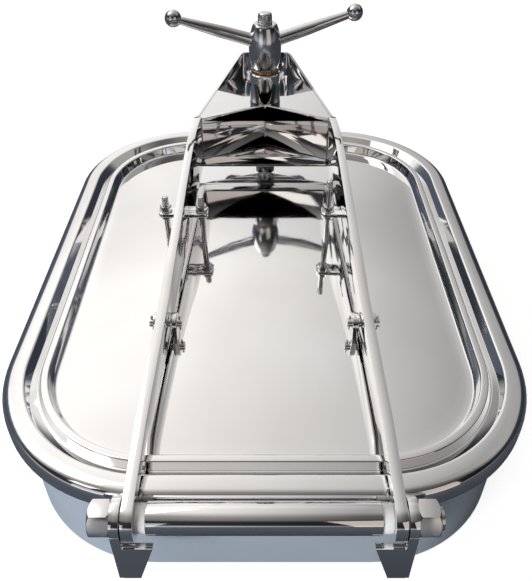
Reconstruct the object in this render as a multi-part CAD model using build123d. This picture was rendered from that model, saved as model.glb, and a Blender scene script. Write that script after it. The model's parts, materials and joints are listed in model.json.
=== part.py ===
from build123d import *
import os
from math import cos, hypot, pi, radians, sin

# Rectangular tank manway cover. Millimetres, +Z up, +Y towards the locking end.
# The origin is the centre of the neck's lower (weld) edge.

# Neck, the frame that is welded to the tank
opening_length = 530.0
opening_width = 400.0
opening_corner = 116.0
neck_wall = 4.0
neck_height = 100.0

# Lid and gasket
lid_overhang = 11.0
lid_sheet = 2.5
gasket_width = 12.0
gasket_thickness = 6.2
gasket_inset = 5.0
seat_gap = 0.3
skirt_height = 17.0
bead_width = 17.5
groove_width = 9.5
groove_depth = 5.5
ridge_width = 4.0
ridge_rise = 3.5
plate_drop = 13.0
plate_crown = 6.0
plate_rings = (1.0, 0.8, 0.55, 0.25)
rim_slopes = (3.0, 3.0, 7.5)
rim_land = 4.0
rim_radii = (8.0, 6.0, 4.0, 3.0, 3.2, 3.2, 4.0)

# Hinge
pin_radius = 8.0
pin_reach = 15.0
pin_below_rim = 3.0
running_gap = 0.08
loose_gap = 0.3
hinge_eye = 15.0
arm_plate = 8.0
spacer_length = 7.5
ear_gap = 1.0
ear_plate = 6.5
ear_height = 57.0
ear_root = 26.0
ear_tip = 6.0
ear_tip_run = 5.0
ear_skirt_gap = 3.3
shield_plate = 5.0
shield_drop = 13.2
shield_inside_top = 74.0
shield_inside_low = 87.5
shield_outside_low = 98.0
shield_bevel = 5.6
hex_flats = 24.0
hex_length = 15.0
hex_chamfer_share = 0.98
bolt_proud = 3.0
tube_half = 78.0
tube_radius = 11.2
tube_bore = 8.5
spacer_radius = 10.0

# Yoke
arm_head_x = 78.0
# y and height over the rim of the arms' upper edge, from the hinge to the head
arm_tops = ((-104.0, 29.0), (-82.0, 34.0), (-58.0, 38.0), (-32.0, 42.0), (3.0, 48.0), (31.0, 54.0),
            (62.0, 59.0), (115.0, 66.0), (143.0, 66.4), (176.0, 63.0))
arm_clear = 4.0
arm_low = -4.0
arm_drop_run = 18.0
arm_end = 3.0
lug_y = -110.0
head_inset = 97.0
head_low = 4.5
shelf_plate = 3.0
head_high = 60.0
web_plate = 4.0
web_depth = 38.0
web_tuck = 2.0
shelf_lead = 14.5
floor_plate = 4.0
nose_sheet = 3.0
nose_reach = 33.0
nose_shoulder = 74.5
nose_shoulder_run = 29.0
nose_corner = 43.4
nose_bend = 150.0
nose_turn = 42.0
# inset from the lid's end and height over the rim of the nose wall's edges, from the head to the end
nose_tops = ((40.0, 60.0), (2.0, 64.0), (-24.0, 79.0), (-36.0, 90.0))
nose_lows = ((74.0, 30.0), (57.0, 35.5), (43.0, 39.0), (30.0, 46.0), (13.0, 52.0), (2.0, 46.4),
             (-11.0, 45.0), (-18.0, 46.0), (-27.0, 51.5), (-29.5, 56.0))

# Screw and handle
spindle_inset = 42.0
boss_radius = 18.4
boss_top = 94.0
boss_chamfer = 1.0
washer_height = 4.0
washer_radius = 16.9
washer_bore = 9.0
washer_chamfer = 0.8
hub_height = 51.7
hub_foot = 15.7
hub_belly = 18.9
hub_top = 14.3
hub_belly_height = 24.6
hub_land = 2.0
hub_edge = 1.5
rod_radius = 8.0
rod_proud = 12.3
rod_dome = 3.5
handle_turn = 6.0
handle_reach = 103.5
handle_root_height = 28.8
handle_ball_height = 60.4
handle_root_radius = 7.8
handle_tip_radius = 4.0
handle_waist_radius = 6.8
handle_waist_share = 0.5
handle_ball_radius = 9.4
foot_radius = 12.0
foot_height = 14.0
foot_base = 6.0
foot_chamfer = 2.0

# Lid lugs and hangers
lug_plate = 5.0
lug_side_gap = 0.9
lug_radius = 9.0
lug_pin_radius = 4.0
lug_pin_height = 5.0
lug_pin_proud = 4.0
lug_flare = 3.0
cotter_radius = 1.0
cotter_length = 16.0
cotter_inset = 2.0
hanger_y = 32.0
hanger_height = 28.0
hanger_plate = 4.0
hanger_width = 16.0
hanger_offset = 18.0
hanger_end = 7.0
hanger_end_round = 4.5
hanger_past_arm = 3.0
stud_radius = 3.0
stud_top_left = 46.0
stud_top_right = 64.0
stud_chamfer = 0.8
small_flats = 10.0
small_nut = 5.0
small_washer = 1.2
small_washer_radius = 6.0

# Latch at the far end
latch_reach = 17.0
latch_pin_height = 62.0
latch_pin_radius = 5.0
latch_pin_half = 28.0
latch_side = 5.0
latch_inside = 10.5
latch_eye = 9.0
catch_pin_radius = 5.0
catch_pin_half = 20.0
catch_pin_chamfer = 0.8
catch_below_rim = 4.0
catch_gap = 0.4
catch_lead = 1.7
claw_wall = 7.6
tongue_half = 8.0
tongue_plate = 16.0
tongue_tail = 14.0
tongue_round = 7.0
shank_share = 0.6
bridge_out = 1.5
bridge_plate = 4.0
bridge_length = 18.0
tab_length = 8.0
keeper_inside = 18.0
keeper_plate = 6.0
keeper_height = 30.0
keeper_root = 6.0
keeper_eye = 10.5
clip_radius = 8.5
clip_plate = 1.5

# Tools for through cuts: longer than anything on the cover
through = 2000.0

# Worked-out sizes
neck_length = opening_length + 2 * neck_wall
neck_width = opening_width + 2 * neck_wall
neck_corner = opening_corner + neck_wall
lid_length = neck_length + 2 * lid_overhang
lid_width = neck_width + 2 * lid_overhang
lid_corner = neck_corner + lid_overhang
lid_end = lid_length / 2
head_y = lid_end - head_inset
spindle_y = lid_end - spindle_inset
nose_y = lid_end + nose_reach
catch_y = lid_end + latch_reach
latch_pin_y = catch_y
bead_top = neck_height + seat_gap + gasket_thickness + lid_sheet
rim = bead_top + 1.0
pin_y = -(lid_length / 2 + pin_reach)
pin_z = rim - pin_below_rim
rim_band = bead_width + groove_width + ridge_width + sum(rim_slopes) + rim_land
plate_top = bead_top - plate_drop
arm_hinge_x = tube_half + spacer_length + arm_plate / 2
ear_inside = arm_hinge_x + arm_plate / 2 + ear_gap
ear_outside = ear_inside + ear_plate


def outline(length, width, corner):
    return RectangleRounded(width, length, corner)


def side_plate(face_yz, x_start, x_end):
    """Extrude a profile drawn in the YZ plane from x_start to x_end."""
    plane = Plane(origin=(x_start, 0, 0), x_dir=(0, 1, 0), z_dir=(1, 0, 0))
    return extrude(plane * face_yz, x_end - x_start)


def x_cylinder(radius, x_start, x_end, y, z):
    return side_plate(Pos(y, z) * Circle(radius), x_start, x_end)


def strip(points, thickness):
    """A plan-view strip of even thickness along a bent line, mitred at its corners."""
    left, right = [], []
    for index, (x, y) in enumerate(points):
        before = points[max(index - 1, 0)]
        after = points[min(index + 1, len(points) - 1)]
        normals = []
        for start, end in ((before, (x, y)), ((x, y), after)):
            run = hypot(end[0] - start[0], end[1] - start[1])
            if run > 0:
                normals.append((-(end[1] - start[1]) / run, (end[0] - start[0]) / run))
        nx = sum(n[0] for n in normals) / len(normals)
        ny = sum(n[1] for n in normals) / len(normals)
        scale = thickness / 2 / (nx * nx + ny * ny)
        left.append((x + nx * scale, y + ny * scale))
        right.append((x - nx * scale, y - ny * scale))
    return make_face(Polyline(*left, *reversed(right), close=True))


# Neck and gasket
def make_neck():
    outer = outline(neck_length, neck_width, neck_corner)
    inner = outline(opening_length, opening_width, opening_corner)
    return extrude(outer - inner, neck_height)


def make_gasket(lid):
    near = gasket_inset
    outer = outline(lid_length - 2 * near, lid_width - 2 * near, lid_corner - near)
    far = gasket_inset + gasket_width
    inner = outline(lid_length - 2 * far, lid_width - 2 * far, lid_corner - far)
    return Pos(0, 0, neck_height + seat_gap) * extrude(outer - inner, gasket_thickness) - lid


# Lid
def rim_line():
    down, up, slope = rim_slopes
    u0 = bead_width
    u1 = u0 + down
    u2 = u1 + groove_width
    u3 = u2 + up
    u4 = u3 + ridge_width
    floor_z = bead_top - groove_depth
    ridge_z = floor_z + ridge_rise
    return ((0, bead_top - skirt_height), (0, bead_top), (u0, bead_top), (u1, floor_z), (u2, floor_z),
            (u3, ridge_z), (u4, ridge_z), (u4 + slope, plate_top), (rim_band, plate_top))


def dome(base_z, thickness_below):
    """The crowned plate as a solid, on a short prism that reaches thickness_below under its edge."""
    plate_length = lid_length - 2 * rim_band
    plate_width = lid_width - 2 * rim_band
    plate_corner = lid_corner - rim_band
    sections = []
    for share in plate_rings:
        z = base_z + plate_crown * (1 - share * share)
        ring = outline(plate_length * share, plate_width * share, plate_corner * share)
        sections.append(Pos(0, 0, z) * ring)
    solid = loft(sections, ruled=True)
    if thickness_below:
        base = Pos(0, 0, base_z - thickness_below) * outline(plate_length, plate_width, plate_corner)
        solid = solid + extrude(base, thickness_below)
    return solid


def rim_section():
    top = FilletPolyline(*rim_line(), radius=list(rim_radii))
    return make_face(offset(top, amount=lid_sheet, side=Side.RIGHT, closed=True))


def make_rim():
    path = outline(lid_length, lid_width, lid_corner).wire()
    start = path @ 0
    along = path % 0
    inward = Vector(0, 0, 1).cross(along)
    if inward.dot(Vector(0, 0, 0) - start) < 0:
        inward = inward * -1
    plane = Plane(origin=(start.X, start.Y, 0), x_dir=inward, z_dir=inward.cross(Vector(0, 0, 1)))
    return sweep(plane * rim_section(), path=path)


def make_lid():
    plate = dome(plate_top, lid_sheet) - dome(plate_top - lid_sheet, 0)
    return make_rim() + plate


# Hinge
def make_shield(side, front, tip_z):
    """The plate across an ear's front, narrower towards its bevelled bottom edge."""
    back = front + shield_plate
    top = pin_z - shield_drop
    low = tip_z + shield_bevel - shield_plate
    slab = make_face(Polyline((front, tip_z + shield_bevel), (back, low), (back, top), (front, top),
                              close=True))
    face = make_face(Polyline((side * shield_inside_top, top), (side * ear_outside, top),
                              (side * shield_outside_low, low), (side * shield_inside_low, low), close=True))
    upright = Plane(origin=(0, back, 0), x_dir=(1, 0, 0), z_dir=(0, -1, 0))
    return side_plate(slab, -lid_width / 2, lid_width / 2) & extrude(upright * face, shield_plate)


def make_ear(side):
    neck_y = -neck_length / 2
    front = pin_y - pin_reach
    skirt_clear = bead_top - skirt_height - ear_skirt_gap
    root_low = skirt_clear - ear_root
    tip_z = pin_z - ear_height
    eye = hinge_eye - seat_gap
    profile = make_face(Polyline(
        (neck_y + neck_wall, skirt_clear), (neck_y + neck_wall, root_low),
        (front + ear_tip + ear_tip_run, tip_z), (front + ear_tip, tip_z), (front, tip_z + ear_tip),
        (front, pin_z), (pin_y + eye, pin_z), (pin_y + eye, skirt_clear), close=True))
    profile = profile + Pos(pin_y, pin_z) * Circle(eye)
    profile = profile - Pos(pin_y, pin_z) * Circle(pin_radius + running_gap)
    low, high = sorted((side * ear_inside, side * ear_outside))
    neck_form = extrude(outline(neck_length, neck_width, neck_corner), neck_height)
    return side_plate(profile, low, high) + make_shield(side, front, tip_z) - neck_form


def hexagon_nut(flats, length, bore):
    shape = RegularPolygon(flats / 2, 6, major_radius=False)
    nut = extrude(shape, length)
    point = flats / 2 / cos(pi / 6)
    cone = Cylinder(point, length, align=(Align.CENTER, Align.CENTER, Align.MIN))
    cone = chamfer(cone.edges().filter_by(GeomType.CIRCLE), point - flats / 2 * hex_chamfer_share)
    nut = nut & cone
    if bore:
        nut = nut - Cylinder(bore, length, align=(Align.CENTER, Align.CENTER, Align.MIN))
    return nut


def along_x(shape, x, y, z, direction):
    """Lay a part that is drawn along +Z along +X or -X, with its base at x."""
    plane = Plane(origin=(x, y, z), x_dir=(0, 1, 0), z_dir=(direction, 0, 0))
    return plane * shape


def make_hinge_bolt():
    shank = x_cylinder(pin_radius, -ear_outside, ear_outside + hex_length + bolt_proud, pin_y, pin_z)
    head = along_x(hexagon_nut(hex_flats, hex_length, 0), -ear_outside, pin_y, pin_z, -1)
    return shank + head


def make_hinge_nut():
    return along_x(hexagon_nut(hex_flats, hex_length, pin_radius), ear_outside, pin_y, pin_z, 1)


def make_hinge_tube():
    tube = x_cylinder(tube_radius, -tube_half, tube_half, pin_y, pin_z)
    return tube - x_cylinder(tube_bore, -tube_half, tube_half, pin_y, pin_z)


def make_hinge_spacers():
    inner_face = arm_hinge_x - arm_plate / 2
    spacers = []
    for side in (-1, 1):
        low, high = sorted((side * tube_half, side * inner_face))
        ring = x_cylinder(spacer_radius, low, high, pin_y, pin_z)
        spacers.append(ring - x_cylinder(tube_bore, low, high, pin_y, pin_z))
    return Compound(children=spacers)


# Yoke
def arm_side_profile():
    bend_y = -lid_length / 2 + rim_band
    clear_z = rim + arm_clear
    end_y = head_y + arm_end
    tops = [(y, rim + z) for y, z in reversed(arm_tops)]
    points = [(pin_y, clear_z), (bend_y, clear_z), (bend_y + arm_drop_run, rim + arm_low),
              (lug_y, rim + arm_low), (head_y, rim + head_low), (end_y, rim + head_low),
              (end_y, rim + head_high), *tops, (pin_y, pin_z + hinge_eye)]
    return make_face(Polyline(*points, close=True)) + Pos(pin_y, pin_z) * Circle(hinge_eye)


def arm_centre_line(side):
    bend_y = -lid_length / 2 + rim_band
    return [(side * arm_hinge_x, pin_y - hinge_eye), (side * arm_hinge_x, bend_y),
            (side * arm_head_x, head_y), (side * arm_head_x, head_y + arm_end)]


def make_arm(side):
    plan = strip(arm_centre_line(side), arm_plate)
    tall = Pos(0, 0, rim - hinge_eye * 2) * extrude(plan, boss_top + hinge_eye * 2)
    profile = side_plate(arm_side_profile(), -lid_width / 2, lid_width / 2)
    arm = tall & profile
    arm = arm - x_cylinder(pin_radius + running_gap, -lid_width / 2, lid_width / 2, pin_y, pin_z)
    arm = arm - x_cylinder(lug_pin_radius, -lid_width / 2, lid_width / 2, lug_y, rim + lug_pin_height)
    slot = Pos(0, hanger_y, rim + hanger_height) * Box(lid_width, hanger_width, hanger_plate)
    return arm - slot


def web_line():
    return [(-arm_head_x, head_y - web_tuck), (0, head_y + web_depth), (arm_head_x, head_y - web_tuck)]


def make_web(arms):
    low = head_low + shelf_plate
    web = Pos(0, 0, rim + low) * extrude(strip(web_line(), web_plate), head_high - low)
    return web - arms


def make_bottom_plate(arms):
    """The shelf that closes the hood's underside in front of the folded web."""
    front = head_y - shelf_lead
    back = head_y - web_tuck
    plan = make_face(Polyline((-arm_hinge_x, front), (arm_hinge_x, front), (arm_hinge_x, back),
                              (0, head_y + web_depth), (-arm_hinge_x, back), close=True))
    plate = Pos(0, 0, rim + head_low) * extrude(plan, shelf_plate)
    return (plate & Box(2 * arm_inner_x(front), lid_length, through)) - arms


def nose_line():
    """The inner plan line of the bent nose wall, from the left arm round to the right."""
    shoulder = head_y + nose_shoulder_run
    points = [(-nose_shoulder, head_y), (-nose_shoulder, shoulder), (-nose_corner, nose_y),
              (nose_corner, nose_y), (nose_shoulder, shoulder), (nose_shoulder, head_y)]
    return FilletPolyline(*points, radius=[nose_bend, nose_turn, nose_turn, nose_bend])


def make_floor(arms, web):
    inner = make_face(nose_line() + Line((nose_shoulder, head_y), (-nose_shoulder, head_y)))
    ahead_y = head_y - web_depth
    ahead = make_face(Polyline((-lid_width, ahead_y), *web_line(), (lid_width, ahead_y), close=True))
    plate = Pos(0, 0, rim + head_high - floor_plate) * extrude(inner - ahead, floor_plate)
    plate = plate - Pos(0, spindle_y, 0) * Cylinder(boss_radius, through)
    return plate - arms - web


def make_nose_wall(arms):
    """The sheet bent round the nose; its upper edge climbs to the end and its lower edge is waved."""
    ring = make_face(offset(nose_line(), amount=nose_sheet, side=Side.LEFT, closed=True))
    end_y = nose_y + nose_sheet
    tops = [(lid_end - inset, rim + z) for inset, z in reversed(nose_tops[:-1])]
    lows = [(lid_end - inset, rim + z) for inset, z in nose_lows]
    profile = make_face(Polyline(
        (head_y, rim + head_low), *lows, (end_y + nose_sheet, rim + head_high - floor_plate),
        (end_y + nose_sheet, rim + nose_tops[-1][1]), (end_y, rim + nose_tops[-1][1]), *tops,
        (head_y, rim + head_high), close=True))
    wall = extrude(ring, rim + boss_top) & side_plate(profile, -lid_width / 2, lid_width / 2)
    return wall - arms


def make_boss(web):
    low = rim + head_high - floor_plate
    boss = Pos(0, spindle_y, low) * Cylinder(boss_radius, rim + boss_top - low,
                                             align=(Align.CENTER, Align.CENTER, Align.MIN))
    boss = chamfer(boss.edges().group_by(Axis.Z)[-1], boss_chamfer)
    return boss - Pos(0, spindle_y, 0) * Cylinder(rod_radius + running_gap, through) - web


def make_tongue():
    low = rim - catch_below_rim - tongue_tail
    high = rim + head_high - floor_plate
    tongue = Pos(0, catch_y, (low + high) / 2) * Box(2 * tongue_half, tongue_plate, high - low)
    tongue = fillet(tongue.edges().filter_by(Axis.X).group_by(Axis.Z)[0], tongue_round)
    return tongue - x_cylinder(catch_pin_radius, -tongue_half, tongue_half, catch_y, rim - catch_below_rim)


def make_catch_pin():
    pin = x_cylinder(catch_pin_radius, -catch_pin_half, catch_pin_half, catch_y, rim - catch_below_rim)
    return chamfer(pin.edges().filter_by(GeomType.CIRCLE), catch_pin_chamfer)


# Lid lugs and their pins
def arm_x_at(y):
    bend_y = -lid_length / 2 + rim_band
    share = (y - bend_y) / (head_y - bend_y)
    return arm_hinge_x + (arm_head_x - arm_hinge_x) * share


def arm_inner_x(y):
    return arm_x_at(y) - arm_plate / 2


def lug_faces(side):
    centre = side * arm_x_at(lug_y)
    inner = arm_plate / 2 + lug_side_gap
    return [(centre - inner - lug_plate, centre - inner), (centre + inner, centre + inner + lug_plate)]


def make_lugs(side, lid_form):
    pin_at = rim + lug_pin_height
    base = plate_top
    foot_half = lug_radius + lug_flare
    profile = make_face(Polyline((lug_y - lug_radius, pin_at), (lug_y - foot_half, base),
                                 (lug_y + foot_half, base), (lug_y + lug_radius, pin_at), close=True))
    profile = profile + Pos(lug_y, pin_at) * Circle(lug_radius)
    profile = profile - Pos(lug_y, pin_at) * Circle(lug_pin_radius)
    return Compound(children=[side_plate(profile, low, high) - lid_form for low, high in lug_faces(side)])


def make_lug_pins():
    pins = []
    for side in (-1, 1):
        faces = lug_faces(side)
        low = faces[0][0] - lug_pin_proud
        high = faces[1][1] + lug_pin_proud
        pin = x_cylinder(lug_pin_radius, low, high, lug_y, rim + lug_pin_height)
        for x in (faces[0][0] - cotter_inset, faces[1][1] + cotter_inset):
            pin = pin - Pos(x, lug_y, rim + lug_pin_height) * Cylinder(cotter_radius, cotter_length)
        pins.append(pin)
    return Compound(children=pins)


def make_lug_cotters():
    """Split pins that hang through the ends of the lug pins."""
    cotters = []
    for side in (-1, 1):
        faces = lug_faces(side)
        for x in (faces[0][0] - cotter_inset, faces[1][1] + cotter_inset):
            pin = Cylinder(cotter_radius, cotter_length)
            cotters.append(Pos(x, lug_y, rim + lug_pin_height) * pin)
    return Compound(children=cotters)


# Hangers that set the lid level under the arms
def hanger_places(side):
    """The left arm carries a stud on each side; the right arm has one, on the inside."""
    centre = side * arm_x_at(hanger_y)
    if side > 0:
        return [centre - hanger_offset]
    return [centre - hanger_offset, centre + hanger_offset]


def make_hanger_bracket(side):
    places = hanger_places(side)
    low = min(places) - hanger_end
    high = max(places) + hanger_end
    if side > 0:
        high = arm_x_at(hanger_y) + arm_plate / 2 + hanger_past_arm
    plate = Pos((low + high) / 2, hanger_y, rim + hanger_height) * Box(high - low, hanger_width, hanger_plate)
    ends = plate.edges().filter_by(Axis.Z).group_by(Axis.X)
    rounded = ends[0] if side > 0 else ends[0] + ends[-1]
    plate = fillet(rounded, hanger_end_round)
    for x in places:
        plate = plate - Pos(x, hanger_y, rim + hanger_height) * Cylinder(stud_radius + loose_gap, through)
    return plate


def make_studs(lid_form):
    studs = []
    for side, top in ((-1, stud_top_left), (1, stud_top_right)):
        for x in hanger_places(side):
            stud = Pos(x, hanger_y, plate_top) * Cylinder(stud_radius, rim + top - plate_top,
                                                          align=(Align.CENTER, Align.CENTER, Align.MIN))
            studs.append(chamfer(stud.edges().group_by(Axis.Z)[-1], stud_chamfer) - lid_form)
    return Compound(children=studs)


def make_hanger_hardware():
    washers, nuts = [], []
    above = rim + hanger_height + hanger_plate / 2
    below = rim + hanger_height - hanger_plate / 2
    for side in (-1, 1):
        for x in hanger_places(side):
            ring = Cylinder(small_washer_radius, small_washer, align=(Align.CENTER, Align.CENTER, Align.MIN))
            ring = ring - Cylinder(stud_radius + loose_gap, through)
            washers.append(Pos(x, hanger_y, above) * ring)
            nut = hexagon_nut(small_flats, small_nut, stud_radius)
            nuts.append(Pos(x, hanger_y, above + small_washer) * nut)
            nuts.append(Pos(x, hanger_y, below - small_nut) * nut)
    return Compound(children=washers), Compound(children=nuts)


# Screw, foot and handle
def make_brass_washer():
    ring = Cylinder(washer_radius, washer_height, align=(Align.CENTER, Align.CENTER, Align.MIN))
    ring = chamfer(ring.edges().filter_by(GeomType.CIRCLE), washer_chamfer)
    return Pos(0, spindle_y, rim + boss_top) * (ring - Cylinder(washer_bore, through))


def hub_base():
    return rim + boss_top + washer_height


def make_hub():
    belly = hub_belly_height
    high = hub_height - hub_land
    profile = Polyline((rod_radius, 0), (hub_foot, 0), (hub_foot, hub_land))
    side_line = ThreePointArc((hub_foot, hub_land), (hub_belly, belly), (hub_top, high))
    cap = Polyline((hub_top, high), (hub_top - hub_edge, hub_height), (rod_radius, hub_height),
                   (rod_radius, 0))
    face = make_face(profile + side_line + cap)
    hub = revolve(Plane.XZ * face, Axis.Z)
    return Pos(0, spindle_y, hub_base()) * hub


def handle_plane(side):
    """A plane at the arm's root, with z_dir along the arm."""
    turn = radians(handle_turn)
    across = Vector(cos(turn) * side, sin(turn) * side, 0)
    root = Vector(0, spindle_y, hub_base() + handle_root_height)
    ball = Vector(0, spindle_y, hub_base() + handle_ball_height) + across * handle_reach
    return Plane(origin=root, z_dir=ball - root), (ball - root).length, ball


def make_handle_arm(side, hub_form):
    plane, length, ball = handle_plane(side)
    waist = (handle_waist_radius, length * handle_waist_share)
    face = make_face(Polyline((0, 0), (handle_root_radius, 0), waist, (handle_tip_radius, length),
                              (0, length), close=True))
    arm = plane * revolve(Plane.XZ * face, Axis.Z)
    return arm - hub_form - Pos(*ball) * Sphere(handle_ball_radius)


def make_ball(side):
    plane, length, ball = handle_plane(side)
    return Pos(*ball) * Sphere(handle_ball_radius)


def foot_low():
    """The foot stands on the ridge inside the lid's groove."""
    return bead_top - groove_depth + ridge_rise + seat_gap


def make_foot():
    foot = Pos(0, spindle_y, foot_low()) * Cylinder(foot_radius, foot_height,
                                                    align=(Align.CENTER, Align.CENTER, Align.MIN))
    foot = chamfer(foot.edges().group_by(Axis.Z)[-1], foot_chamfer)
    socket = Cylinder(rod_radius + running_gap, foot_height, align=(Align.CENTER, Align.CENTER, Align.MIN))
    return foot - Pos(0, spindle_y, foot_low() + foot_base) * socket


def make_rod():
    low = foot_low() + foot_base + seat_gap
    high = hub_base() + hub_height + rod_proud
    rod = Pos(0, spindle_y, low) * Cylinder(rod_radius, high - low,
                                            align=(Align.CENTER, Align.CENTER, Align.MIN))
    return fillet(rod.edges().group_by(Axis.Z)[-1], rod_dome)


# Latch on the neck's far side
def claw_profile():
    """The hook plate in its closed place, drawn about the latch pin."""
    reach = rim - catch_below_rim - latch_pin_height
    claw_radius = catch_pin_radius + catch_gap + claw_wall
    eye = Circle(latch_eye)
    claw = Pos(0, reach) * Circle(claw_radius)
    inner = -latch_eye * shank_share
    shank = make_face(Polyline((inner, 0), (latch_eye, 0), (claw_radius, reach), (inner, reach), close=True))
    slot_end = catch_pin_radius + catch_gap
    high = reach + slot_end
    low = reach - slot_end - catch_lead
    mouth = -2 * claw_radius
    slot = make_face(Polyline((slot_end, high), (mouth, high), (mouth, low), (slot_end, low), close=True))
    return eye + claw + shank - slot - Circle(latch_pin_radius + running_gap)


def make_latch():
    profile = claw_profile()
    closed = Plane(origin=(0, latch_pin_y, latch_pin_height), x_dir=(0, 1, 0), z_dir=(1, 0, 0))
    latch = None
    for low in (latch_inside, -latch_inside - latch_side):
        plate = closed * (Pos(0, 0, low) * extrude(profile, latch_side))
        latch = plate if latch is None else latch + plate
    half = latch_inside + latch_side
    face_y = latch_pin_y + latch_eye + bridge_out
    low_z = latch_pin_height + latch_eye
    bridge = Pos(0, face_y - bridge_plate / 2, low_z + bridge_length / 2) * Box(
        2 * half, bridge_plate, bridge_length)
    tab = Pos(0, face_y + tab_length / 2, low_z + bridge_length - bridge_plate / 2) * Box(
        2 * half, tab_length, bridge_plate)
    latch = latch + bridge + tab
    return latch.rotate(Axis((0, latch_pin_y, latch_pin_height), (1, 0, 0)), -180)


def make_keeper_ear(side):
    neck_y = neck_length / 2
    profile = Pos(latch_pin_y, latch_pin_height) * Circle(keeper_eye)
    low, high = latch_pin_height - keeper_height / 2 - keeper_root, latch_pin_height + keeper_height / 2
    profile = profile + make_face(Polyline(
        (neck_y, low), (latch_pin_y, latch_pin_height - keeper_eye),
        (latch_pin_y, latch_pin_height + keeper_eye), (neck_y, high), close=True))
    profile = profile - Pos(latch_pin_y, latch_pin_height) * Circle(latch_pin_radius)
    low, high = sorted((side * keeper_inside, side * (keeper_inside + keeper_plate)))
    return side_plate(profile, low, high)


def make_latch_pin():
    return x_cylinder(latch_pin_radius, -latch_pin_half, latch_pin_half, latch_pin_y, latch_pin_height)


def make_latch_clips():
    clips = []
    outer = keeper_inside + keeper_plate
    for side in (-1, 1):
        low, high = sorted((side * outer, side * (outer + clip_plate)))
        ring = x_cylinder(clip_radius, low, high, latch_pin_y, latch_pin_height)
        clips.append(ring - x_cylinder(latch_pin_radius, low, high, latch_pin_y, latch_pin_height))
    return Compound(children=clips)


def make_parts():
    lid_form = dome(plate_top, lid_sheet)
    lid = make_lid()
    arms = {name: make_arm(side) for name, side in (("left", -1), ("right", 1))}
    both = arms["left"] + arms["right"]
    web = make_web(both)
    hub = make_hub()
    hub_form = hub + Pos(0, spindle_y, 0) * Cylinder(rod_radius, through)
    washers, nuts = make_hanger_hardware()
    parts = {
        "neck_frame": make_neck(),
        "hinge_bolt": make_hinge_bolt(),
        "hinge_nut": make_hinge_nut(),
        "hinge_tube": make_hinge_tube(),
        "hinge_spacers": make_hinge_spacers(),
        "lid_shell": lid,
        "lid_gasket": make_gasket(lid),
        "hood_web": web,
        "hood_bottom_plate": make_bottom_plate(both),
        "hood_floor": make_floor(both, web),
        "hood_end_plate": make_nose_wall(both),
        "spindle_boss": make_boss(web),
        "nose_tongue": make_tongue(),
        "catch_pin": make_catch_pin(),
        "lug_pins": make_lug_pins(),
        "lug_cotters": make_lug_cotters(),
        "hanger_studs": make_studs(lid_form),
        "hanger_washers": washers,
        "hanger_nuts": nuts,
        "brass_washer": make_brass_washer(),
        "handle_hub": hub,
        "spindle_rod": make_rod(),
        "pressure_foot": make_foot(),
        "latch_hook": make_latch(),
        "latch_pin": make_latch_pin(),
        "latch_clips": make_latch_clips(),
    }
    for name, side in (("left", -1), ("right", 1)):
        parts["hinge_ear_" + name] = make_ear(side)
        parts["yoke_arm_" + name] = arms[name]
        parts["lid_lugs_" + name] = make_lugs(side, lid_form)
        parts["hanger_bracket_" + name] = make_hanger_bracket(side)
        parts["handle_arm_" + name] = make_handle_arm(side, hub_form)
        parts["handle_ball_" + name] = make_ball(side)
        parts["keeper_ear_" + name] = make_keeper_ear(side)
    return parts


os.makedirs("parts", exist_ok=True)
for node, shape in make_parts().items():
    export_step(shape, "parts/" + node + ".step")
    print(node, round(shape.volume))
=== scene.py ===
import bpy
import bmesh
import json
from math import cos, sin, pi, radians
from mathutils import Matrix, Vector


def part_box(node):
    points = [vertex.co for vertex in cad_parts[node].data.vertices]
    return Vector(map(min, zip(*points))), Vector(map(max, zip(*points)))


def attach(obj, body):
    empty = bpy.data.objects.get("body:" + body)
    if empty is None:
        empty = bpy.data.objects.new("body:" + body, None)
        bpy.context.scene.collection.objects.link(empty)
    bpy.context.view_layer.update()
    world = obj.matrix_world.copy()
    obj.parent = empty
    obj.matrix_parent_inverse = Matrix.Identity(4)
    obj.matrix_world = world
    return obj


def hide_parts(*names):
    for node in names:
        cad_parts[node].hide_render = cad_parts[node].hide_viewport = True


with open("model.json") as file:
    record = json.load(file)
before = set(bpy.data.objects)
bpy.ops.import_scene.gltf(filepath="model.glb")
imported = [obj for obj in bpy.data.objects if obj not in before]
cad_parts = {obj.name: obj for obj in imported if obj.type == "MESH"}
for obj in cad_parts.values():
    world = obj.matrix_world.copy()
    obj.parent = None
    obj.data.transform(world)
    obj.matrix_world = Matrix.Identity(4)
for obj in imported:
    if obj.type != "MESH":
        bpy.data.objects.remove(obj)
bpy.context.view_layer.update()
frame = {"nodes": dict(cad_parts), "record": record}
nodes = frame["nodes"]
slots = {part["node"]: part["material_slot"] for part in frame["record"]["subparts"]}
bodyOf = {node: body for body, names in frame["record"]["behaviour"]["bodies"].items() for node in names}


# sizes read from the frame
lidLow, lidHigh = (Vector(corner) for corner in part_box("lid_shell"))
neckLow, neckHigh = (Vector(corner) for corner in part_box("neck_frame"))
rimLevel = lidHigh.z + 0.001  # what the heights over the rim are measured from
lidLength = lidHigh.y - lidLow.y
lidWidth = lidHigh.x - lidLow.x


# materials
def newMaterial(name):
    material = bpy.data.materials.new(name)
    material.use_nodes = True
    tree = material.node_tree
    tree.nodes.clear()
    output = tree.nodes.new("ShaderNodeOutputMaterial")
    output.name = "Material Output"
    shader = tree.nodes.new("ShaderNodeBsdfPrincipled")
    tree.links.new(shader.outputs["BSDF"], output.inputs["Surface"])
    return material, tree, shader


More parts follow.
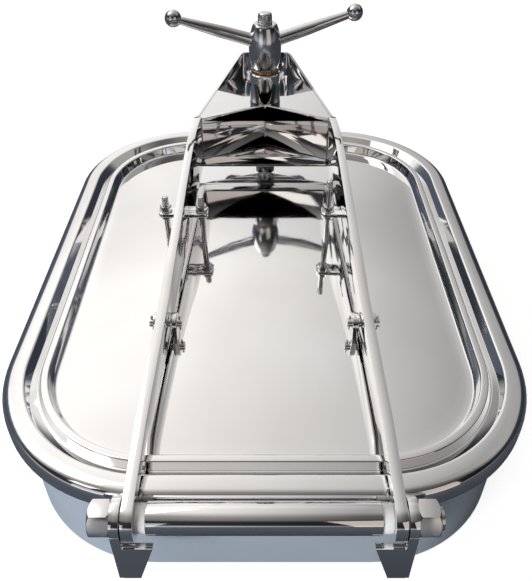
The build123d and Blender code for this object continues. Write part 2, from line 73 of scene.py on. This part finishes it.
def noiseNode(tree, scale, detail=3.0, stretch=(1, 1, 1)):
    place = tree.nodes.new("ShaderNodeTexCoord")
    mapping = tree.nodes.new("ShaderNodeMapping")
    mapping.inputs["Scale"].default_value = stretch
    noise = tree.nodes.new("ShaderNodeTexNoise")
    noise.inputs["Scale"].default_value = scale
    noise.inputs["Detail"].default_value = detail
    tree.links.new(place.outputs["Object"], mapping.inputs["Vector"])
    tree.links.new(mapping.outputs["Vector"], noise.inputs["Vector"])
    return noise.outputs["Fac"]


# a colour ramp with a (place, colour) pair for each stop
def toneRamp(tree, source, stopsWanted):
    node = tree.nodes.new("ShaderNodeValToRGB")
    stops = node.color_ramp.elements
    while len(stops) < len(stopsWanted):
        stops.new(0.5)
    for stop, (place, tone) in zip(stops, stopsWanted):
        stop.position = place
        stop.color = (*tone, 1)
    tree.links.new(source, node.inputs["Fac"])
    return node.outputs["Color"]


def mapRange(tree, source, start, end, low=0.0, high=1.0):
    node = tree.nodes.new("ShaderNodeMapRange")
    node.inputs["From Min"].default_value = start
    node.inputs["From Max"].default_value = end
    node.inputs["To Min"].default_value = low
    node.inputs["To Max"].default_value = high
    tree.links.new(source, node.inputs["Value"])
    return node.outputs["Result"]


def bumpFrom(tree, source, distance, base=None):
    node = tree.nodes.new("ShaderNodeBump")
    node.inputs["Distance"].default_value = distance
    tree.links.new(source, node.inputs["Height"])
    if base is not None:
        tree.links.new(base, node.inputs["Normal"])
    return node.outputs["Normal"]


# tone is the pair of colours that the surface drifts between, roughness one value or the pair of its values,
# wave the depth of the slow dents left by polishing, and grain that of the fine marks; depths are in metres
finishes = {
    "mirror_steel": {"name": "mirrorSteel", "tone": ((0.80, 0.79, 0.79), (0.86, 0.86, 0.86)),
                     "roughness": (0.03, 0.07), "wave": 0.0004, "waveScale": 9.0},
    # the neck's steel is blue-grey and darker than the lid's: its blue tint is a painted reflection of the blue-grey
    # floor below, and its darkness is partly the satin finish and partly painted shade under the lid's rim
    "satin_steel": {"name": "satinSteelPaintedReflection", "tone": ((0.50, 0.57, 0.66), (0.56, 0.63, 0.71)), "metal": 0.4,
                    "roughness": (0.34, 0.44), "wave": 0.0002, "waveScale": 6.0,
                    "grain": 0.000012, "grainScale": 700.0, "grainStretch": (1, 1, 0.03)},
    "machined_steel": {"name": "machinedSteel", "tone": ((0.66, 0.65, 0.64), (0.78, 0.78, 0.78)),
                       "roughness": (0.14, 0.24), "grain": 0.00002, "grainScale": 400.0},
    "cast_polished_steel": {"name": "castPolishedSteel", "tone": ((0.60, 0.60, 0.61), (0.74, 0.74, 0.75)),
                            "roughness": (0.10, 0.20), "wave": 0.0007, "waveScale": 45.0},
    "brass": {"name": "turnedBrass", "tone": ((0.36, 0.18, 0.09), (0.56, 0.32, 0.17)), "toneScale": 40.0,
              "roughness": (0.10, 0.18), "rubScale": 120.0, "rubDetail": 3.0},
    "gasket_rubber": {"name": "siliconeRubber", "tone": ((0.80, 0.79, 0.75), (0.90, 0.89, 0.86)), "metal": 0.0,
                      "toneScale": 30.0, "roughness": 0.55, "grain": 0.00005, "grainScale": 900.0,
                      "grainDetail": 3.0},
    "spacer_plastic": {"name": "bearingPlastic", "tone": ((0.72, 0.72, 0.70), (0.82, 0.82, 0.80)), "metal": 0.0,
                       "toneScale": 50.0, "roughness": 0.42},
}
noiseSpan = (0.3, 0.7)  # where nearly all values of a noise lie


def makeFinish(look):
    material, tree, shader = newMaterial(look["name"])
    shader.inputs["Metallic"].default_value = look.get("metal", 1.0)
    drift = noiseNode(tree, look.get("toneScale", 9.0))
    tree.links.new(toneRamp(tree, drift, list(zip(noiseSpan, look["tone"]))), shader.inputs["Base Color"])
    if isinstance(look["roughness"], tuple):
        rub = noiseNode(tree, look.get("rubScale", 60.0), look.get("rubDetail", 6.0))
        tree.links.new(mapRange(tree, rub, *noiseSpan, *look["roughness"]), shader.inputs["Roughness"])
    else:
        shader.inputs["Roughness"].default_value = look["roughness"]
    normal = None
    if "wave" in look:
        normal = bumpFrom(tree, noiseNode(tree, look["waveScale"], 1.0), look["wave"])
    if "grain" in look:
        marks = noiseNode(tree, look["grainScale"], look.get("grainDetail", 2.0), look.get("grainStretch", (1, 1, 1)))
        normal = bumpFrom(tree, marks, look["grain"], normal)
    if normal is not None:
        tree.links.new(normal, shader.inputs["Normal"])
    return material


materials = {slot: makeFinish(look) for slot, look in finishes.items()}
print("materials made:", len(materials))


# mesh helpers
def newPiece(name, mesh, body, slot, *replaced):
    piece = bpy.data.objects.new(name, mesh)
    bpy.context.scene.collection.objects.link(piece)
    mesh.materials.clear()
    mesh.materials.append(materials[slot])
    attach(piece, body)
    if replaced:
        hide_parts(*replaced)
    return piece


# the evaluated shape of an object as a plain mesh, without the object
def bakedMesh(holder):
    graph = bpy.context.evaluated_depsgraph_get()
    mesh = bpy.data.meshes.new_from_object(holder.evaluated_get(graph))
    bpy.data.objects.remove(holder)
    return mesh


# a mesh from what was built, with its faces turned outwards
def outwardMesh(build, name):
    bmesh.ops.recalc_face_normals(build, faces=build.faces)
    mesh = bpy.data.meshes.new(name)
    build.to_mesh(mesh)
    build.free()
    return mesh


def smoothByAngle(mesh, degrees):
    mesh.polygons.foreach_set("use_smooth", [True] * len(mesh.polygons))
    mesh.set_sharp_from_angle(angle=radians(degrees))


# points and outward directions round a rounded rectangle, counter-clockwise from above
def roundedPath(length, width, corner, cornerSteps=24, straightSteps=24):
    points = []
    halfX, halfY = width / 2 - corner, length / 2 - corner
    for index, (cx, cy) in enumerate(((halfX, halfY), (-halfX, halfY), (-halfX, -halfY), (halfX, -halfY))):
        for step in range(cornerSteps + 1):
            angle = pi / 2 * (index + step / cornerSteps)
            out = Vector((cos(angle), sin(angle), 0))
            points.append((Vector((cx, cy, 0)) + out * corner, out))
        nextX, nextY = ((-halfX, halfY), (-halfX, -halfY), (halfX, -halfY), (halfX, halfY))[index]
        start = points[-1][0]
        end = Vector((nextX, nextY, 0)) + points[-1][1] * corner
        for step in range(1, straightSteps):
            points.append((start.lerp(end, step / straightSteps), points[-1][1].copy()))
    return points


# a closed profile of (inset, height) points carried round the path
def ringMesh(name, path, profile):
    build = bmesh.new()
    rings = [[build.verts.new(point - out * inset + Vector((0, 0, height))) for inset, height in profile]
             for point, out in path]
    count = len(profile)
    for index, ring in enumerate(rings):
        after = rings[(index + 1) % len(rings)]
        for spot in range(count):
            build.faces.new((ring[spot], after[spot], after[(spot + 1) % count], ring[(spot + 1) % count]))
    return outwardMesh(build, name)


# a line through (x, y) points with its inner corners rounded
def filletLine(points, radii, steps=6):
    line = [Vector(points[0])]
    for before, corner, after, radius in zip(points, points[1:], points[2:], radii):
        corner = Vector(corner)
        back, ahead = (Vector(before) - corner).normalized(), (Vector(after) - corner).normalized()
        half = back.angle(ahead) / 2
        reach = radius / abs(sin(half) / cos(half))
        centre = corner + (back + ahead).normalized() * (radius / sin(half))
        start = corner + back * reach - centre
        turn = start.angle_signed(corner + ahead * reach - centre)
        for step in range(steps + 1):
            line.append(centre + Matrix.Rotation(-turn * step / steps, 2) @ start)
    line.append(Vector(points[-1]))
    return line


# the same line moved to its right-hand side
def offsetLine(line, distance):
    moved = []
    for index, point in enumerate(line):
        before = line[max(index - 1, 0)]
        after = line[min(index + 1, len(line) - 1)]
        along = (after - before).normalized()
        moved.append(point + Vector((along.y, -along.x)) * distance)
    return moved


# lid shell
lidSizes = {
    "sheet": 0.0025, "skirt": 0.017, "corner": 0.131, "bead": 0.0178, "groove": 0.0010, "grooveDepth": 0.0090,
    "ridge": 0.0062, "ridgeRise": 0.0070, "down": 0.0086, "up": 0.0032, "slope": 0.0027, "land": 0.0075,
    "plateDrop": 0.013, "crown": 0.006, "plateSteps": 28, "smoothAngle": 50,
    # of the profile's corners, from the outside in
    "radii": (0.0085, 0.0034, 0.0007, 0.0007, 0.0016, 0.0018, 0.0026),
}


# the upper side of the rim from the skirt's foot to the plate, as (inset, height)
def rimLine(size):
    top = lidHigh.z
    grooveStart = size["bead"] + size["down"]
    grooveEnd = grooveStart + size["groove"]
    ridgeStart = grooveEnd + size["up"]
    ridgeEnd = ridgeStart + size["ridge"]
    plateStart = ridgeEnd + size["slope"]
    floor = top - size["grooveDepth"]
    ridge = floor + size["ridgeRise"]
    plate = top - size["plateDrop"]
    points = ((0, top - size["skirt"]), (0, top), (size["bead"], top), (grooveStart, floor), (grooveEnd, floor),
              (ridgeStart, ridge), (ridgeEnd, ridge), (plateStart, plate), (plateStart + size["land"], plate))
    return filletLine(points, size["radii"])


def buildLid(size):
    line = rimLine(size)
    under = offsetLine(line, size["sheet"])
    under[0] = Vector((size["sheet"], line[0].y))
    under[-1] = Vector((line[-1].x, line[-1].y - size["sheet"]))
    band = line[-1].x
    path = roundedPath(lidLength, lidWidth, size["corner"])
    build = bmesh.new()
    plateHigh = line[-1].y
    steps = size["plateSteps"]
    rings = []  # the upper and the lower side at each place round the rim, from the skirt to the middle
    for point, out in path:
        top = [build.verts.new(point - out * p.x + Vector((0, 0, p.y))) for p in line]
        low = [build.verts.new(point - out * p.x + Vector((0, 0, p.y))) for p in under]
        rings.append((top, low))
    edge = [point - out * band for point, out in path]
    for level, lift in ((0, 0.0), (1, -size["sheet"])):
        for share in [1 - step / steps for step in range(1, steps)]:
            height = plateHigh + lift + size["crown"] * (1 - share * share)
            for index, spot in enumerate(edge):
                rings[index][level].append(build.verts.new((spot.x * share, spot.y * share, height)))
    centres = [build.verts.new((0, 0, plateHigh + lift + size["crown"])) for lift in (0, -size["sheet"])]
    for index, (top, low) in enumerate(rings):
        nextTop, nextLow = rings[(index + 1) % len(rings)]
        for spot in range(len(top) - 1):
            build.faces.new((top[spot], nextTop[spot], nextTop[spot + 1], top[spot + 1]))
            build.faces.new((low[spot], low[spot + 1], nextLow[spot + 1], nextLow[spot]))
        build.faces.new((top[0], low[0], nextLow[0], nextTop[0]))
        build.faces.new((top[-1], nextTop[-1], centres[0]))
        build.faces.new((low[-1], centres[1], nextLow[-1]))
    mesh = outwardMesh(build, "lidSkin")
    smoothByAngle(mesh, size["smoothAngle"])
    newPiece("lidSkin", mesh, "yoke", "mirror_steel", "lid_shell")


buildLid(lidSizes)
print("lid made")


# neck
neckSizes = {"wall": 0.004, "corner": 0.120, "edgeRound": 0.0012, "smoothAngle": 40}


def buildNeck(size):
    rounding = size["edgeRound"]
    wall = size["wall"]
    low, high = neckLow.z, neckHigh.z
    profile = [(0, low + rounding), (0, (low + high) / 2), (0, high - rounding), (rounding, high),
               (wall - rounding, high), (wall, high - rounding), (wall, (low + high) / 2), (wall, low + rounding),
               (wall - rounding, low), (rounding, low)]
    path = roundedPath(neckHigh.y - neckLow.y, neckHigh.x - neckLow.x, size["corner"])
    mesh = ringMesh("neckWall", path, profile)
    smoothByAngle(mesh, size["smoothAngle"])
    newPiece("neckWall", mesh, "neck", "satin_steel", "neck_frame")


buildNeck(neckSizes)
print("neck made")


# hood floor and the sheet that is bent round its nose
noseSizes = {
    "sheet": 0.003, "floor": 0.004, "shoulder": 0.0768, "waist": 0.0598, "waistInset": 0.0163, "corner": 0.0434,
    "turn": 0.042, "topCorner": 0.0291, "topRound": 0.006, "topHigh": 0.089, "lift": 0.0004, "webTuck": 0.002,
    "turnSteps": 14, "topSteps": 8, "sideSteps": 20, "bendSteps": 40, "smoothAngle": 34,
    # inset from the lid's end and height over the rim of the lower edge
    "lows": ((0.097, 0.0045), (0.074, 0.030), (0.057, 0.0355), (0.043, 0.039), (0.030, 0.046), (0.013, 0.052),
             (0.002, 0.0464), (-0.011, 0.045), (-0.018, 0.046), (-0.027, 0.0515), (-0.0295, 0.056)),
}


# the point at a share of the line's length
def alongLine(points, share):
    lengths = [(after - before).length for before, after in zip(points, points[1:])]
    left = share * sum(lengths)
    for before, after, length in zip(points, points[1:], lengths):
        if left <= length:
            return before.lerp(after, left / length)
        left -= length
    return points[-1].copy()


# the height at an inset, between the nearest (inset, height) pairs
def heightAt(pairs, inset):
    for (before, low), (after, high) in zip(pairs, pairs[1:]):
        if inset >= after:
            return low + (high - low) * min(max((before - inset) / (before - after), 0.0), 1.0)
    return pairs[-1][1]


# the right half from the arm to the middle: foot and top edge in plan, and the top edge's height, at each station
def noseHalf(size, floorLevel):
    wallLow, wallHigh = (Vector(corner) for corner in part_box("hood_end_plate"))
    headY, endY = wallLow.y, wallHigh.y - size["sheet"]
    waist = Vector((size["waist"], lidHigh.y - size["waistInset"]))
    side = [Vector((size["shoulder"], headY)), waist]
    bend = filletLine([waist, Vector((size["corner"], endY)), Vector((0.0, endY))], (size["turn"],),
                      size["turnSteps"])
    top = filletLine([waist, Vector((size["topCorner"], endY)), Vector((0.0, endY))], (size["topRound"],),
                     size["topSteps"])
    rise = (rimLevel + size["topHigh"] - floorLevel) / (endY - waist.y)
    stations = []
    for step in range(size["sideSteps"]):
        foot = alongLine(side, step / size["sideSteps"])
        stations.append((foot, foot.copy(), floorLevel))
    for step in range(size["bendSteps"] + 1):
        share = step / size["bendSteps"]
        foot, edge = alongLine(bend, share), alongLine(top, share)
        stations.append((foot, edge, floorLevel + rise * (edge.y - waist.y)))
    return stations


# the sheet as a row of closed sections from arm to arm; returns its foot in plan
def buildNose(size, floorLevel):
    half = noseHalf(size, floorLevel)
    mirrored = [(Vector((-foot.x, foot.y)), Vector((-edge.x, edge.y)), high) for foot, edge, high in half[:-1]]
    stations = mirrored + half[::-1]
    feet = [foot for foot, edge, high in stations]
    edges = [edge for foot, edge, high in stations]
    under = floorLevel - size["floor"]
    build = bmesh.new()
    sections = []
    for (foot, edge, high), outerFoot, outerEdge in zip(stations, offsetLine(feet, -size["sheet"]),
                                                        offsetLine(edges, -size["sheet"])):
        low = rimLevel + heightAt(size["lows"], lidHigh.y - foot.y)
        middle, outerMiddle = foot.lerp(edge, 0.5), outerFoot.lerp(outerEdge, 0.5)
        middleHigh = (floorLevel + high + size["lift"]) / 2
        section = [(foot, low), (foot, under), (foot, floorLevel), (middle, middleHigh), (edge, high + size["lift"]),
                   (outerEdge, high + size["lift"]), (outerMiddle, middleHigh), (outerFoot, floorLevel),
                   (outerFoot, under), (outerFoot, low)]
        sections.append([build.verts.new((spot.x, spot.y, height)) for spot, height in section])
    count = len(sections[0])
    for first, second in zip(sections, sections[1:]):
        for spot in range(count):
            after = (spot + 1) % count
            build.faces.new((first[spot], second[spot], second[after], first[after]))
    build.faces.new(sections[0])
    build.faces.new(sections[-1][::-1])
    mesh = outwardMesh(build, "noseWall")
    smoothByAngle(mesh, size["smoothAngle"])
    newPiece("noseWall", mesh, "yoke", "mirror_steel", "hood_end_plate")
    return feet


# the floor inside the nose, with a fold line in front like the web's
def buildHoodFloor(size, feet, floorLevel):
    webLow, webHigh = (Vector(corner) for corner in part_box("hood_web"))
    frontY = webLow.y + size["webTuck"]
    front = [Vector((size["shoulder"], frontY)), Vector((0.0, webHigh.y - size["webTuck"])),
             Vector((-size["shoulder"], frontY))]
    outline = feet + front
    build = bmesh.new()
    upper = [build.verts.new((spot.x, spot.y, floorLevel)) for spot in outline]
    lower = [build.verts.new((spot.x, spot.y, floorLevel - size["floor"])) for spot in outline]
    build.faces.new(upper)
    build.faces.new(lower[::-1])
    for index in range(len(outline)):
        after = (index + 1) % len(outline)
        build.faces.new((upper[index], lower[index], lower[after], upper[after]))
    bmesh.ops.triangulate(build, faces=[face for face in build.faces if len(face.verts) > 4])
    newPiece("hoodFloor", outwardMesh(build, "hoodFloor"), "yoke", "mirror_steel", "hood_floor")


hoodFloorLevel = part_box("hood_floor")[1][2]
noseFeet = buildNose(noseSizes, hoodFloorLevel)
buildHoodFloor(noseSizes, noseFeet, hoodFloorLevel)
print("hood made")


# everything else starts from its solid, merged and with its edges eased
dressSizes = {
    "merge": 0.000002, "flatAngle": 0.5, "sharpAngle": 35, "smoothAngle": 32, "ease": 0.0004, "easeSteps": 3,
    # pieces with rounder edges
    "easeOf": {"yoke_arm_left": 0.0028, "yoke_arm_right": 0.0028, "hood_web": 0.0012, "hinge_ear_left": 0.0012,
               "hinge_ear_right": 0.0012, "hood_bottom_plate": 0.001},
}


def dressNode(name, size):
    mesh = nodes[name].data.copy()
    build = bmesh.new()
    build.from_mesh(mesh)
    bmesh.ops.remove_doubles(build, verts=build.verts, dist=size["merge"])
    bmesh.ops.dissolve_limit(build, angle_limit=radians(size["flatAngle"]), verts=build.verts, edges=build.edges)
    build.to_mesh(mesh)
    build.free()
    holder = bpy.data.objects.new(name + "_holder", mesh)
    bpy.context.scene.collection.objects.link(holder)
    bevel = holder.modifiers.new("ease", "BEVEL")
    bevel.width = size["easeOf"].get(name, size["ease"])
    bevel.segments = size["easeSteps"]
    bevel.limit_method = "ANGLE"
    bevel.angle_limit = radians(size["sharpAngle"])
    mesh = bakedMesh(holder)
    smoothByAngle(mesh, size["smoothAngle"])
    newPiece(name + "_dressed", mesh, bodyOf[name], slots[name], name)


rebuilt = {"lid_shell", "neck_frame", "hood_end_plate", "hood_floor"}
for nodeName in sorted(set(nodes) - rebuilt):
    dressNode(nodeName, dressSizes)
print("pieces dressed:", len(nodes) - len(rebuilt))


# screw threads, each a helix swept by a node tree; shown is how far down from the end the thread starts,
# and bare the plain length at the end
threadSizes = {
    "turnSteps": 28, "sectionSides": 6,
    "rod": {"pitch": 0.0020, "section": 0.0008, "shown": 0.0118, "bare": 0.0046, "smoothAngle": 50},
    "stud": {"pitch": 0.0010, "section": 0.00042, "shown": 0.010, "bare": 0.001, "smoothAngle": 50},
}


def threadTree(size, material):
    tree = bpy.data.node_groups.new("threadHelix", "GeometryNodeTree")
    for name in ("Radius", "Pitch", "Height", "Section"):
        tree.interface.new_socket(name=name, in_out="INPUT", socket_type="NodeSocketFloat")
    tree.interface.new_socket(name="Geometry", in_out="OUTPUT", socket_type="NodeSocketGeometry")
    source = tree.nodes.new("NodeGroupInput")
    turns = tree.nodes.new("ShaderNodeMath")
    turns.operation = "DIVIDE"
    tree.links.new(source.outputs["Height"], turns.inputs[0])
    tree.links.new(source.outputs["Pitch"], turns.inputs[1])
    helix = tree.nodes.new("GeometryNodeCurveSpiral")
    helix.inputs["Resolution"].default_value = size["turnSteps"]
    tree.links.new(turns.outputs["Value"], helix.inputs["Rotations"])
    tree.links.new(source.outputs["Radius"], helix.inputs["Start Radius"])
    tree.links.new(source.outputs["Radius"], helix.inputs["End Radius"])
    tree.links.new(source.outputs["Height"], helix.inputs["Height"])
    section = tree.nodes.new("GeometryNodeCurvePrimitiveCircle")
    section.inputs["Resolution"].default_value = size["sectionSides"]
    tree.links.new(source.outputs["Section"], section.inputs["Radius"])
    sweep = tree.nodes.new("GeometryNodeCurveToMesh")
    sweep.inputs["Fill Caps"].default_value = True
    tree.links.new(helix.outputs["Curve"], sweep.inputs["Curve"])
    tree.links.new(section.outputs["Curve"], sweep.inputs["Profile Curve"])
    realized = tree.nodes.new("GeometryNodeRealizeInstances")
    tree.links.new(sweep.outputs["Mesh"], realized.inputs["Geometry"])
    painted = tree.nodes.new("GeometryNodeSetMaterial")
    painted.inputs["Material"].default_value = material
    tree.links.new(realized.outputs["Geometry"], painted.inputs["Geometry"])
    sink = tree.nodes.new("NodeGroupOutput")
    tree.links.new(painted.outputs["Geometry"], sink.inputs["Geometry"])
    return tree


# a thread near the upper end of the round piece that fills the box from low to high
def cutThread(name, tree, low, high, size, body):
    holder = bpy.data.objects.new(name + "Path", bpy.data.meshes.new(name + "Path"))
    bpy.context.scene.collection.objects.link(holder)
    maker = holder.modifiers.new("thread", "NODES")
    maker.node_group = tree
    wanted = {"Radius": (high.x - low.x) / 2 - size["section"] / 2, "Pitch": size["pitch"],
              "Height": size["shown"] - size["bare"], "Section": size["section"]}
    for socket in tree.interface.items_tree:
        if socket.in_out == "INPUT":
            maker[socket.identifier] = wanted[socket.name]
    mesh = bakedMesh(holder)
    middle = (low + high) / 2
    mesh.transform(Matrix.Translation((middle.x, middle.y, high.z - size["shown"])))
    smoothByAngle(mesh, size["smoothAngle"])
    newPiece(name, mesh, body, "machined_steel")


# the box round each separate solid of a node, from left to right
def islandBoxes(source):
    build = bmesh.new()
    build.from_mesh(source.data)
    bmesh.ops.remove_doubles(build, verts=build.verts, dist=dressSizes["merge"])
    left, found = set(build.verts), []
    while left:
        stack, spots = [left.pop()], []
        while stack:
            vert = stack.pop()
            spots.append(source.matrix_world @ vert.co)
            for edge in vert.link_edges:
                other = edge.other_vert(vert)
                if other in left:
                    left.remove(other)
                    stack.append(other)
        found.append((Vector([min(spot[axis] for spot in spots) for axis in range(3)]),
                      Vector([max(spot[axis] for spot in spots) for axis in range(3)])))
    build.free()
    return sorted(found, key=lambda box: box[0].x)


def buildThreads(size):
    tree = threadTree(size, materials["machined_steel"])
    rodLow, rodHigh = islandBoxes(nodes["spindle_rod"])[0]
    cutThread("rodThread", tree, rodLow, rodHigh, size["rod"], bodyOf["spindle_rod"])
    for index, (low, high) in enumerate(islandBoxes(nodes["hanger_studs"])):
        cutThread(f"studThread{index}", tree, low, high, size["stud"], bodyOf["hanger_studs"])


buildThreads(threadSizes)
print("threads cut")


# studio
roomLook = {
    # the sine of a direction's height, and the room's colour there: behind the object, in front of it and beside it
    "behind": ((0.0, (0.055, 0.068, 0.09)), (0.20, (0.07, 0.085, 0.11)), (0.27, (0.32, 0.31, 0.31)),
               (0.34, (0.73, 0.715, 0.70)), (0.50, (0.74, 0.725, 0.71)), (0.60, (0.95, 0.93, 0.905)),
               (0.74, (0.90, 0.88, 0.86)), (0.86, (0.80, 0.78, 0.76)), (1.0, (0.74, 0.72, 0.70))),
    "before": ((0.0, (0.42, 0.42, 0.43)), (0.08, (0.34, 0.34, 0.35)), (0.18, (0.018, 0.019, 0.022)),
               (0.56, (0.03, 0.03, 0.033)), (0.66, (0.15, 0.142, 0.135)), (0.88, (0.27, 0.26, 0.25)),
               (1.0, (0.50, 0.49, 0.485))),
    "beside": ((0.0, (0.045, 0.055, 0.075)), (0.42, (0.085, 0.10, 0.13)), (0.48, (0.16, 0.17, 0.19)),
               (0.54, (0.80, 0.78, 0.765)), (0.74, (0.90, 0.88, 0.86)), (0.86, (0.80, 0.78, 0.76)),
               (1.0, (0.74, 0.72, 0.70))),
    # where each zone starts and where it is full, by how far a direction points aside, backwards and far back
    "besideFrom": (0.36, 0.44), "turnOver": (-0.25, 0.12), "farWall": (0.80, 0.94),
    "farTone": (0.90, 0.88, 0.865),
    "sideDim": (-0.2, 0.35, 0.92, 0.34),  # from the left to the right, and how bright it is at each
    "strength": 1.42,
}
# seen is the floor's colour for the metal and for the light that it throws back
floorLook = {"half": 6.0, "seen": (0.085, 0.10, 0.125), "roughness": 0.8, "glow": 0.80, "shade": 0.5}


# lets the camera see one shader and all else the other
def splitByCamera(tree, forOthers, forCamera, output):
    lightPath = tree.nodes.new("ShaderNodeLightPath")
    mix = tree.nodes.new("ShaderNodeMixShader")
    tree.links.new(lightPath.outputs["Is Camera Ray"], mix.inputs["Fac"])
    tree.links.new(forOthers, mix.inputs[1])
    tree.links.new(forCamera, mix.inputs[2])
    tree.links.new(mix.outputs["Shader"], output.inputs["Surface"])


def buildStage(look):
    floorMesh = bpy.data.meshes.new("studioFloor")
    build = bmesh.new()
    bmesh.ops.create_grid(build, x_segments=1, y_segments=1, size=look["half"])
    build.to_mesh(floorMesh)
    build.free()
    floor = bpy.data.objects.new("studioFloor", floorMesh)
    bpy.context.scene.collection.objects.link(floor)
    material, tree, shader = newMaterial("paleFloor")
    shader.inputs["Base Color"].default_value = (*look["seen"], 1)
    shader.inputs["Roughness"].default_value = look["roughness"]
    shaded = tree.nodes.new("ShaderNodeBsdfDiffuse")  # white with a soft shadow for the camera
    shaded.inputs["Color"].default_value = (look["shade"], look["shade"], look["shade"], 1)
    glow = tree.nodes.new("ShaderNodeEmission")
    glow.inputs["Strength"].default_value = look["glow"]
    both = tree.nodes.new("ShaderNodeAddShader")
    tree.links.new(shaded.outputs["BSDF"], both.inputs[0])
    tree.links.new(glow.outputs["Emission"], both.inputs[1])
    splitByCamera(tree, shader.outputs["BSDF"], both.outputs["Shader"], tree.nodes["Material Output"])
    floorMesh.materials.append(material)


# second is a socket or a plain colour
def blendTones(tree, share, first, second):
    node = tree.nodes.new("ShaderNodeMix")
    node.data_type = "RGBA"
    tree.links.new(share, node.inputs["Factor"])
    firstInput, secondInput = (socket for socket in node.inputs if socket.type == "RGBA")
    tree.links.new(first, firstInput)
    if isinstance(second, tuple):
        secondInput.default_value = (*second, 1)
    else:
        tree.links.new(second, secondInput)
    return next(socket for socket in node.outputs if socket.type == "RGBA")


# white behind the object, and for the metal a room that is pale behind and above and dark in front
def buildWorld(look):
    world = bpy.data.worlds.new("studio")
    bpy.context.scene.world = world
    world.use_nodes = True
    tree = world.node_tree
    tree.nodes.clear()
    output = tree.nodes.new("ShaderNodeOutputWorld")
    place = tree.nodes.new("ShaderNodeTexCoord")
    split = tree.nodes.new("ShaderNodeSeparateXYZ")
    tree.links.new(place.outputs["Generated"], split.inputs["Vector"])
    behind = toneRamp(tree, split.outputs["Z"], look["behind"])
    before = toneRamp(tree, split.outputs["Z"], look["before"])
    behind = blendTones(tree, mapRange(tree, split.outputs["Y"], *look["farWall"]), behind, look["farTone"])
    aside = tree.nodes.new("ShaderNodeMath")
    aside.operation = "ABSOLUTE"
    tree.links.new(split.outputs["X"], aside.inputs[0])
    beside = toneRamp(tree, split.outputs["Z"], look["beside"])
    behind = blendTones(tree, mapRange(tree, aside.outputs["Value"], *look["besideFrom"]), behind, beside)
    both = blendTones(tree, mapRange(tree, split.outputs["Y"], *look["turnOver"]), before, behind)
    dim = tree.nodes.new("ShaderNodeVectorMath")
    dim.operation = "SCALE"
    tree.links.new(both, dim.inputs[0])
    tree.links.new(mapRange(tree, split.outputs["X"], *look["sideDim"]), dim.inputs["Scale"])
    room = tree.nodes.new("ShaderNodeBackground")
    tree.links.new(dim.outputs["Vector"], room.inputs["Color"])
    room.inputs["Strength"].default_value = look["strength"]
    white = tree.nodes.new("ShaderNodeBackground")
    white.inputs["Color"].default_value = (1, 1, 1, 1)
    splitByCamera(tree, room.outputs["Background"], white.outputs["Background"], output)


# each lamp's place, the point that it faces, its width and height, and its power in watts
lampLooks = {
    "keyLight": {"place": (-1.2, 0.4, 1.8), "target": (0, 0, 0.1), "size": (1.2, 1.2), "power": 6},
    "windowLight": {"place": (-1.05, -1.0, 1.0), "target": (0, 0, 0.15), "size": (0.36, 0.42), "power": 0.55,
                    "tint": (1.0, 0.96, 0.89)},
    "warmWall": {"place": (0.95, -1.5, 0.6), "target": (0, 0, 0.1), "size": (1.1, 1.1), "power": 2.2,
                 "tint": (1.0, 0.88, 0.80)},
    "coolWall": {"place": (-1.0, -1.5, 0.4), "target": (0, 0, 0.1), "size": (0.9, 0.6), "power": 0.9,
                 "tint": (0.97, 0.98, 1.0)},
    # lights only what scatters light
    "frontFill": {"place": (-1.5, -2.0, 0.5), "target": (0, 0, 0.05), "size": (1.2, 0.8), "power": 62,
                  "tint": (0.95, 0.98, 1.0), "mirrored": False},
}


def addLight(name, look):
    lamp = bpy.data.lights.new(name, "AREA")
    lamp.color = look.get("tint", (1, 1, 1))
    lamp.shape = "RECTANGLE"
    lamp.size, lamp.size_y = look["size"]
    lamp.energy = look["power"]
    holder = bpy.data.objects.new(name, lamp)
    holder.location = look["place"]
    holder.rotation_euler = (Vector(look["target"]) - holder.location).to_track_quat("-Z", "Y").to_euler()
    holder.visible_glossy = look.get("mirrored", True)
    bpy.context.scene.collection.objects.link(holder)


# focal is the focal length as a share of the frame's longer side, and above the height over the rim
viewSizes = {"right": 0.0012, "back": 0.5397, "above": 0.3956, "tilt": 50.5, "focal": 663.0 / 581.0, "sensor": 36.0}


def addCamera(size):
    camera = bpy.data.cameras.new("viewpoint")
    camera.sensor_width = size["sensor"]
    camera.lens = size["focal"] * size["sensor"]
    camera.clip_start = 0.01
    holder = bpy.data.objects.new("viewpoint", camera)
    holder.location = (size["right"], -size["back"], rimLevel + size["above"])
    holder.rotation_euler = (radians(size["tilt"]), 0, 0)
    bpy.context.scene.collection.objects.link(holder)
    bpy.context.scene.camera = holder


buildStage(floorLook)
buildWorld(roomLook)
for lampName, lampLook in lampLooks.items():
    addLight(lampName, lampLook)
addCamera(viewSizes)
print("studio made")
bpy.context.scene.view_settings.view_transform = "Standard"
